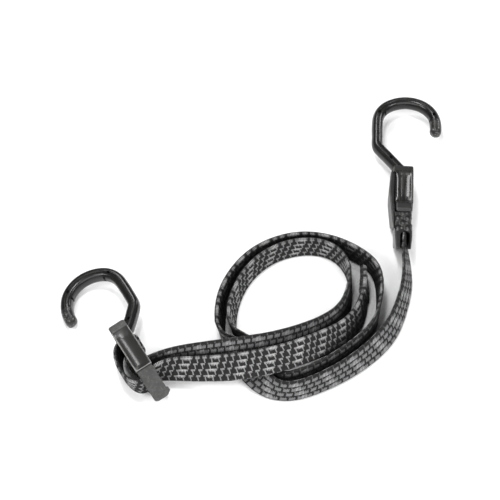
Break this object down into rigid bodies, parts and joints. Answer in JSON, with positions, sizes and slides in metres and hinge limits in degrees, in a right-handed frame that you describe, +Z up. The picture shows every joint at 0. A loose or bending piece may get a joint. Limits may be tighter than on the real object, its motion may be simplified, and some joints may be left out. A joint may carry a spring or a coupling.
{
  "type": "adjustable bungee strap",
  "caption": "Flat woven elastic bungee strap in a loose coil, with a moulded hook sewn on at one end and a hooked slide adjuster that takes up length at the other",
  "frame": {"origin": "On the floor under the middle of the box around the two hooks and their bodies", "axes": "+Z up, +X to the right and +Y away from the viewer as the strap lies; the fixed hook points to +Y"},
  "size_m": [0.2946, 0.2844, 0.034],
  "materials": {
    "hook_nylon": "moulded black nylon, semi-gloss",
    "body_nylon": "moulded charcoal nylon: glossy grip panels, fine spark texture elsewhere",
    "boot_nylon": "moulded black nylon, satin",
    "steel": "plain drawn steel rod",
    "webbing": "woven elastic webbing, charcoal and pale grey blocks",
    "thread": "black polyester sewing thread"
  },
  "bodies": {
    "coil": {"strap_run": "webbing", "strap_outer_loop": "webbing", "strap_inner_loop": "webbing", "strap_lead": "webbing", "strap_tail": "webbing", "strap_tail_end": "webbing", "tail_stitching": "thread"},
    "run_end": {"strap_run_upper": "webbing"},
    "fixed_end": {"fixed_hook": "hook_nylon", "fixed_hook_core": "steel", "fixed_housing": "body_nylon", "fixed_back_cover": "boot_nylon", "fixed_throat": "boot_nylon", "fixed_anchor_pin": "steel", "strap_anchor_loop": "webbing", "anchor_stitching": "thread"},
    "lead_end": {"strap_lead_adjuster": "webbing", "strap_tail_adjuster": "webbing"},
    "adjuster": {"adjuster_frame": "body_nylon", "adjuster_hook": "hook_nylon", "adjuster_hook_core": "steel", "strap_adjuster_wrap": "webbing"}
  },
  "joints": [
    {"name": "strap_stretch", "type": "slide", "parent": "coil", "child": "run_end", "axis": [0.02, 0.9998, 0], "range_m": [0, 0.05], "stiffness_N_per_m": 150, "deforming": ["strap_run", "strap_run_upper"]},
    {"name": "fixed_end_swing", "type": "hinge", "parent": "run_end", "child": "fixed_end", "pos_m": [0.1118, -0.01616, 0.012], "axis": [0, 0, 1], "range_deg": [-30, 30], "deforming": ["strap_run_upper"]},
    {"name": "length_adjust", "type": "slide", "parent": "coil", "child": "lead_end", "axis": [-0.9853, -0.171, 0], "range_m": [-0.015, 0.05], "deforming": ["strap_lead", "strap_tail", "strap_lead_adjuster", "strap_tail_adjuster"]},
    {"name": "adjuster_swing", "type": "hinge", "parent": "lead_end", "child": "adjuster", "pos_m": [-0.0648, -0.10566, 0.017], "axis": [0, 0, 1], "range_deg": [-20, 20], "deforming": ["strap_lead_adjuster", "strap_tail_adjuster"]}
  ]
}
